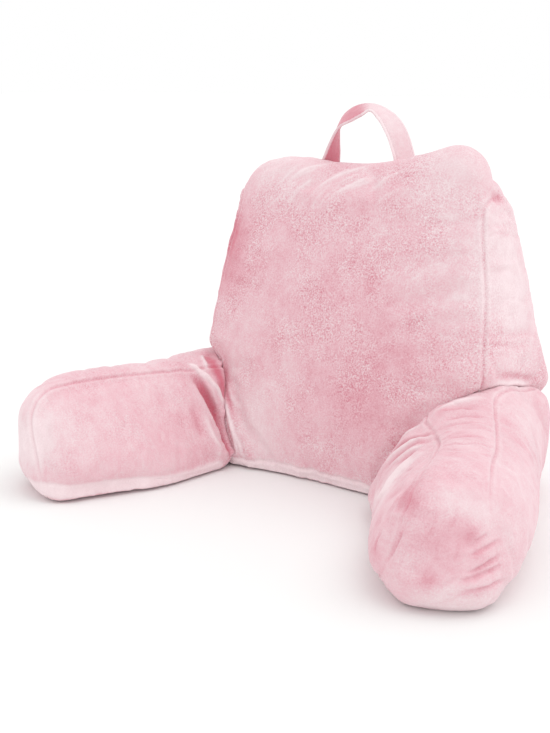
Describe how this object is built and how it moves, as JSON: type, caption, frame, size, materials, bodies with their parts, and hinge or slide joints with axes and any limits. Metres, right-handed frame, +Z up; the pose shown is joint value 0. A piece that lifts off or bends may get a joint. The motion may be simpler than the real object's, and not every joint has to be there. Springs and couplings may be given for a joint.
{
  "type": "reading pillow with arms",
  "caption": "Stuffed reading pillow with a wedge backrest, padded arms and a carrying strap, for sitting up in bed or on a floor.",
  "frame": {"origin": "centre of the footprint, on the surface the pillow stands on", "axes": "+X to the right as seen by someone facing the pillow's front, -Y the way the pillow faces, +Z up"},
  "size_m": [0.7799, 0.5365, 0.5367],
  "materials": {
    "plush_backrest": "short rose pink plush",
    "plush_arms": "short rose pink plush",
    "plush_strap": "short rose pink plush"
  },
  "bodies": {
    "root": {"backrest": "plush_backrest", "arm_left": "plush_arms", "arm_right": "plush_arms", "handle": "plush_strap"}
  },
  "joints": []
}
